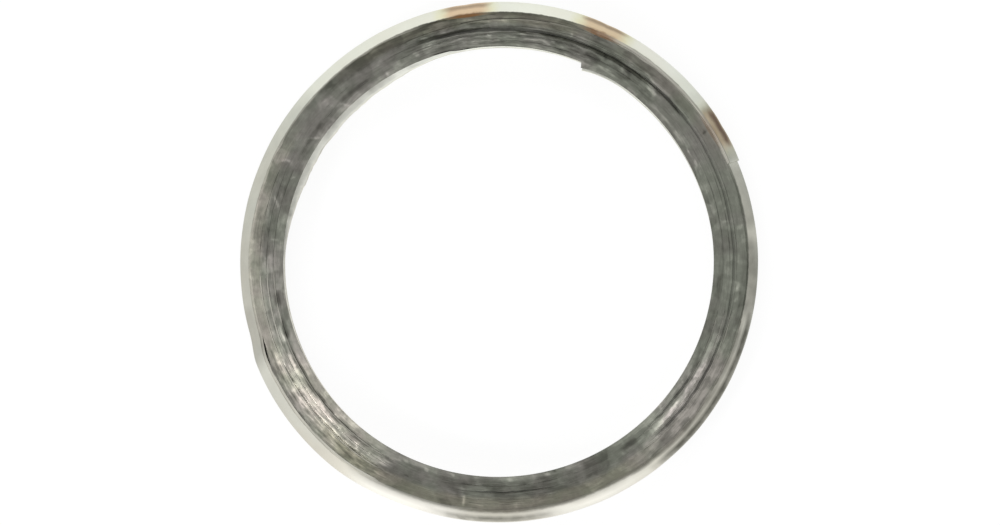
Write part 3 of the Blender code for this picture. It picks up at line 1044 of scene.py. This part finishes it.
# Grey of the film, also used for painted shade
FILM_AND_SHADE_GREY = (0.125, 0.125, 0.105, 1.0)
TINT_STRAW = (0.76, 0.73, 0.50, 1.0)
TINT_COPPER = (0.67, 0.465, 0.31, 1.0)
TINT_ORANGE = (0.20, 0.088, 0.030, 1.0)
TINT_BROWN = (0.105, 0.055, 0.038, 1.0)
# Heights on the flank between which graphite takes over from clean metal
SMEAR_FROM, SMEAR_TO = 2.38 * MM, 2.56 * MM
RAGGED, RAGGED_SCALE = 0.3 * MM, 1500.0
WARMTH_SCALE, FILM_AND_SHADE_SCALE = 110.0, 500.0
LEAST_ROUGH, MOST_ROUGH, SMEAR_ROUGH = 0.36, 0.50, 0.5
# How strongly an edge takes the painted highlight and the orange, and how much graphite hides the
# other tints
EDGE_PAINTED_HIGHLIGHT, EDGE_TINT, TINT_HIDDEN = 0.3, 0.80, 0.9
ROLLED_BUMP = (0.2, 0.02 * MM)

start_material(steel, "stainless steel", Metallic=1.0)
rolled = place_group(streaks, Along=300.0, Across=90.0)["Value"]
stored_painted_highlight = stored_value("painted_highlight")
# Painted shade: the film greys the band where its reflection is darker and the wall where it lies
# in shade.
film_and_shade = times(stored_value("film_and_shade"), fade(noise_value(FILM_AND_SHADE_SCALE), 0.2, 0.8, 0.85, 1.15))
colour = blend_colours(fade(noise_value(WARMTH_SCALE), 0.35, 0.65), STEEL_CLEAN, STEEL_WARM)
# Painted highlight: near white where the band and the lower wall should shine
colour = blend_colours(stored_painted_highlight, colour, STEEL_PAINTED_HIGHLIGHT)
colour = blend_colours(film_and_shade, colour, FILM_AND_SHADE_GREY)

from_middle = maths("ABSOLUTE", maths("SUBTRACT", parts_of(object_place())[2], MIDDLE_HEIGHT))
rubbed = maths("MULTIPLY_ADD", noise_value(RAGGED_SCALE, 4.0), RAGGED, from_middle)
smear_from = maths("MULTIPLY_ADD", stored_value("smear"), -SMEAR_REACH, SMEAR_FROM)
edge_smear = fade(rubbed, smear_from, SMEAR_TO)
bare = times(stored_value("bare"), fade(rolled, 0.35, 0.65, 0.3, 0.7))
edge_colour = blend_colours(bare, place_group(tones, Streak=rolled)["Colour"], STEEL_BARE_EDGE)
edge_colour = blend_colours(times(stored_painted_highlight, EDGE_PAINTED_HIGHLIGHT), edge_colour, STEEL_PAINTED_HIGHLIGHT)
colour = blend_colours(edge_smear, colour, edge_colour)

marks = place_group(heat)
on_metal = maths("MULTIPLY_ADD", edge_smear, -TINT_HIDDEN, 1.0)
for label, share, tint in (("Fringe", on_metal, TINT_STRAW), ("Bloom", on_metal, TINT_COPPER),
                           ("Core", 1.0, TINT_BROWN), ("Edge", EDGE_TINT, TINT_ORANGE)):
    colour = blend_colours(times(marks[label], share), colour, tint)
rough = maths("MAXIMUM", fade(rolled, 0.3, 0.7, LEAST_ROUGH, MOST_ROUGH),
              times(edge_smear, SMEAR_ROUGH))
finish_material(colour, rough, rolled, *ROLLED_BUMP)

# %% [markdown]
# Pressed graphite
#
# The face reads the tone group, has painted shade in its splits, is baked brown beside the welds,
# and is a little glossier where it is light, as rubbed graphite is.

# %% Material: pressed graphite
# Painted shade colour for the splits, which are also real grooves
SPLIT_SHADE_COLOUR = (0.020, 0.020, 0.017, 1.0)
BAKED_GRAPHITE = (0.17, 0.095, 0.042, 1.0)
SPLIT_SHADE_SHARE, BAKED_SHARE = 0.7, 0.75
DULL_ROUGH, RUBBED_ROUGH = 0.62, 0.42
FINE_SCALE, FINER_SCALE, FINER_SHARE = 1500.0, 7000.0, 0.4
PRESSED_BUMP = (0.4, 0.03 * MM)

start_material(graphite, "pressed graphite", Metallic=0.55)
long_streak = place_group(streaks, Along=420.0, Across=24.0, Shift=3.0)["Value"]
tone = place_group(tones, Streak=long_streak)
colour = blend_colours(times(stored_value("split"), SPLIT_SHADE_SHARE), tone["Colour"], SPLIT_SHADE_COLOUR)
colour = blend_colours(times(place_group(heat)["Edge"], BAKED_SHARE), colour, BAKED_GRAPHITE)
fine = maths("ADD", noise_value(FINE_SCALE, 4.0),
             times(noise_value(FINER_SCALE, 3.0), FINER_SHARE))
rough = fade(tone["Shade"], 0.3, 0.8, DULL_ROUGH, RUBBED_ROUGH)
finish_material(colour, rough, fine, *PRESSED_BUMP)

# %% [markdown]
# The floor
#
# The gasket lies on white paper. Seen directly, the paper is white, and it still takes the gasket's
# soft shadow. Seen in the metal, its glow is a painted reflection: a little darker to the left and
# right, brighter at the lower left, greenish above and warm below.

# %% Floor
FLOOR_SIZE = 3.0
PAPER = (0.86, 0.86, 0.86, 1.0)
WHITE = (1.0, 1.0, 1.0, 1.0)
GLOW_SHARE = 0.88
# Painted reflection: the tints and the dimming of the glow seen in the metal
TOP_IN_METAL = (0.965, 1.0, 0.955, 1.0)
BOTTOM_IN_METAL = (1.0, 0.975, 0.93, 1.0)
BRIGHT_DIRECTION_DEG = 105.0
DIMMEST_IN_METAL = 0.74
LOWER_LEFT_DEG, LOWER_LEFT_MORE = 250.0, 0.1

deselect_all()
bpy.ops.mesh.primitive_plane_add(size=FLOOR_SIZE, location=(0, 0, cad_low.z))
floor = bpy.context.object
floor.name = "paper_floor"
start_material(floor, "white paper", Base_Color=PAPER, Roughness=0.9)

# %% [markdown]
# How the paper looks in the metal
#
# Light Path tells how a ray arrives. A ray from the camera sees a glow of plain white, which gives
# the clean background; a ray from the metal sees that glow dimmed and tinted by place, a painted
# reflection. The share that isn't glow keeps the shadow.

# %% The paper's glow
sideways = vector_maths("NORMALIZE", object_place())[0]
toward = distance_towards(sideways, BRIGHT_DIRECTION_DEG)
in_metal = maths("MULTIPLY_ADD", times(toward, toward), 1 - DIMMEST_IN_METAL, DIMMEST_IN_METAL)
near_left = fade(distance_towards(sideways, LOWER_LEFT_DEG), 0.75, 0.97, 0.0, LOWER_LEFT_MORE)
in_metal = maths("MINIMUM", 1.0, maths("ADD", in_metal, near_left))
ray = node("LightPath")
dimming = times(ray["Is Glossy Ray"], maths("SUBTRACT", 1.0, in_metal))
tint = blend_colours(fade(parts_of(sideways)[1], -0.7, 0.7), BOTTOM_IN_METAL, TOP_IN_METAL)
tint = blend_colours(ray["Is Glossy Ray"], WHITE, tint)
glow = node("Emission", Color=tint, Strength=maths("SUBTRACT", 1.0, dimming))[0]
seen = maths("MAXIMUM", ray["Is Camera Ray"],
             maths("MAXIMUM", ray["Is Glossy Ray"], ray["Is Transmission Ray"]))
both = node("MixShader", Fac=times(seen, GLOW_SHARE),
            _1=tree.nodes["Principled BSDF"].outputs[0], _2=glow)[0]
tree.links.new(both, tree.nodes["Material Output"].inputs["Surface"])

# %% [markdown]
# Light
#
# Soft light from all round, as in a light tent, with wide panels above the top and the bottom of
# the picture and a smaller one at the lower left, where the photograph's turns glint.

# %% Lights
ROOM_LIGHT = 0.68
# Each panel: name, place, size and power in watts
PANELS = (("upper panel", (-0.1, 0.55, 0.45), (0.6, 0.3), 3.0),
          ("lower panel", (0.1, -0.55, 0.40), (0.6, 0.3), 2.7),
          ("left lamp", (-0.40, -0.32, 0.40), (0.15, 0.15), 1.3))

world = bpy.data.worlds.new("soft room")
bpy.context.scene.world = world
world.use_nodes = True
background = world.node_tree.nodes["Background"]
background.inputs["Color"].default_value = WHITE
background.inputs["Strength"].default_value = ROOM_LIGHT
for name, place, size, power in PANELS:
    lamp = bpy.data.lights.new(name, "AREA")
    lamp.shape = "RECTANGLE"
    lamp.size, lamp.size_y = size
    lamp.energy = power
    panel = bpy.data.objects.new(name, lamp)
    panel.location = place
    panel.rotation_mode = "QUATERNION"
    panel.rotation_quaternion = (-Vector(place)).to_track_quat("-Z", "Y")
    bpy.context.scene.collection.objects.link(panel)

# %% [markdown]
# The camera
#
# The photograph looks almost straight down from well away. The inner wall shows at the upper left
# only, so the camera stands a few degrees towards the lower right. The lens makes the ring as
# wide in the image as it is there.

# %% Camera
CAMERA_DISTANCE = 1.2
CAMERA_TILT_DEG = 3.6
CAMERA_TOWARDS_DEG = -60.0
SENSOR_WIDTH_MM = 36.0
IMAGE_WIDTH = 1000
PIXELS_PER_MM = 7.745
RING_LEFT_OF_CENTRE = 0.146 * MM
NEAREST_SEEN = 0.01

aim = Vector((RING_LEFT_OF_CENTRE, 0.0, MIDDLE_HEIGHT))
tilt = math.radians(CAMERA_TILT_DEG)
cos, sin, _ = pointing(CAMERA_TOWARDS_DEG)
away = Vector((math.sin(tilt) * cos, math.sin(tilt) * sin, math.cos(tilt)))
camera_data = bpy.data.cameras.new("camera")
camera_data.sensor_width = SENSOR_WIDTH_MM
camera_data.lens = PIXELS_PER_MM * CAMERA_DISTANCE / MM * SENSOR_WIDTH_MM / IMAGE_WIDTH
camera_data.clip_start = NEAREST_SEEN
camera = bpy.data.objects.new("camera", camera_data)
bpy.context.scene.collection.objects.link(camera)
camera.location = aim + away * CAMERA_DISTANCE
right = Vector((0.0, 1.0, 0.0)).cross(away).normalized()
camera.rotation_mode = "QUATERNION"
camera.rotation_quaternion = Matrix((right, away.cross(right), away)).transposed().to_quaternion()
bpy.context.scene.camera = camera
bpy.context.scene.view_settings.view_transform = "Standard"
print("camera lens in mm:", round(camera_data.lens))
